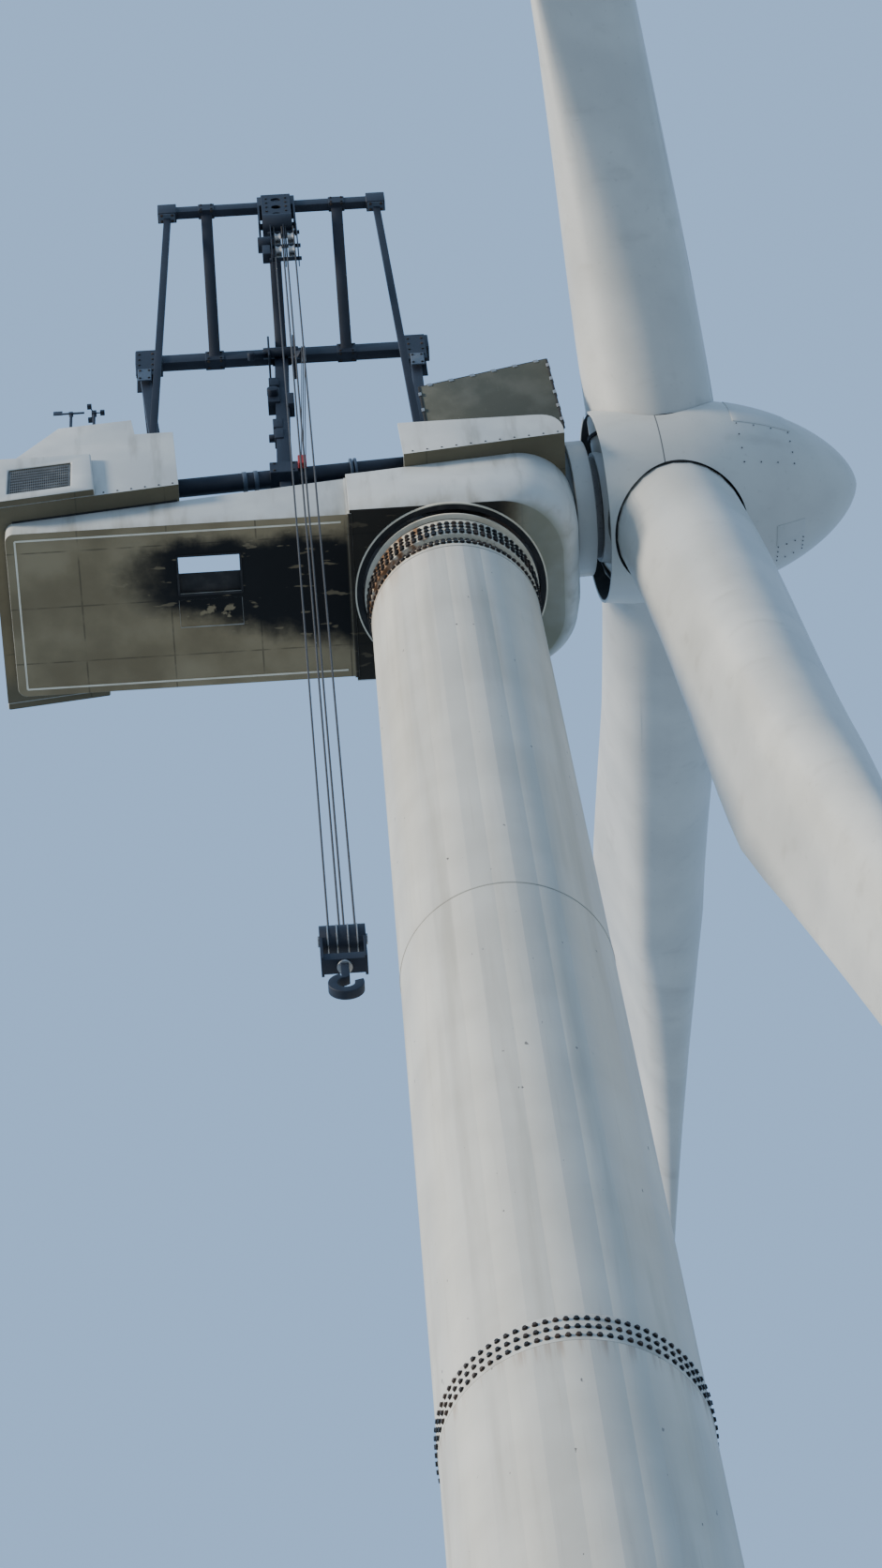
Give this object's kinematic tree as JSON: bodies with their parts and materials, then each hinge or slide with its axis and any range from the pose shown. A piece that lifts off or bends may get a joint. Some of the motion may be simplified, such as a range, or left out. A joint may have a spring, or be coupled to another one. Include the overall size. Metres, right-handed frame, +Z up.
{
  "type": "wind turbine nacelle",
  "caption": "Wind turbine nacelle on the upper part of its tower, its middle roof off, a service crane standing in the opening, and its bladed rotor",
  "frame": {"origin": "centre of the lower face of the flange at the tower's foot, on the tower's axis", "axes": "+Z up along the tower, +X towards the rotor, +Y towards the far side, so the crane leans out over -Y"},
  "size_m": [12.2514, 36.8575, 38.6021],
  "materials": {
    "tower_paint": "cream semi-gloss paint with rain streaks and grime near the top",
    "bare_steel": "dark oiled castings and rings with rust",
    "housing": "weathered off-white glass fibre with olive-brown grime below",
    "blade_shell": "off-white glass fibre, satin, lightly weathered",
    "grille": "dusty grey slats",
    "crane_paint": "dark navy satin paint, scuffed at the edges",
    "instruments": "dark grey satin",
    "wire_rope": "greased steel wire"
  },
  "bodies": {
    "tower": {"tower_shell": "tower_paint", "tower_base_flange": "tower_paint", "tower_top_flange": "bare_steel", "yaw_gear_ring": "bare_steel"},
    "nacelle": {"yaw_bearing_ring": "bare_steel", "bedplate": "bare_steel", "main_bearing_front": "bare_steel", "main_bearing_rear": "bare_steel", "gearbox_foot_near": "bare_steel", "gearbox_foot_far": "bare_steel", "generator": "bare_steel", "front_collar": "housing", "tub_rear": "housing", "tub_front": "housing", "rear_cover": "housing", "front_cover": "housing", "louvre_frame_near": "housing", "louvre_frame_far": "housing", "roof_lid": "housing", "louvre_grille_near": "grille", "louvre_grille_far": "grille", "crane_base_near": "crane_paint", "crane_base_far": "crane_paint", "crane_lower_beam": "crane_paint", "crane_upper_beam": "crane_paint", "crane_head": "crane_paint", "crane_leg_rear": "crane_paint", "crane_leg_front": "crane_paint", "crane_back_leg_rear": "crane_paint", "crane_back_leg_front": "crane_paint", "crane_strut_rear": "crane_paint", "crane_strut_front": "crane_paint", "crane_post_rear": "crane_paint", "crane_post_front": "crane_paint", "crane_mast": "crane_paint", "crane_boom": "crane_paint", "lid_bracket_rear": "crane_paint", "lid_bracket_front": "crane_paint", "wind_vane_mast": "instruments", "anemometer_mast": "instruments", "tackle_ropes_rear": "wire_rope", "tackle_ropes_front": "wire_rope"},
    "rotor": {"spinner": "housing", "main_shaft": "bare_steel", "blade_a": "blade_shell", "blade_b": "blade_shell", "blade_c": "blade_shell"},
    "tackle": {"hook_block": "crane_paint", "hook": "crane_paint"}
  },
  "joints": [
    {"name": "yaw", "type": "hinge", "parent": "tower", "child": "nacelle", "pos_m": [0, 0, 23], "axis": [0, 0, 1], "continuous": true},
    {"name": "rotor_spin", "type": "hinge", "parent": "nacelle", "child": "rotor", "pos_m": [3.21, 0, 26.16], "axis": [0.9969, 0, 0.0785], "continuous": true},
    {"name": "hoist", "type": "slide", "parent": "nacelle", "child": "tackle", "axis": [0, 0, 1], "range_m": [0, 19], "deforming": ["tackle_ropes_rear", "tackle_ropes_front"]}
  ]
}
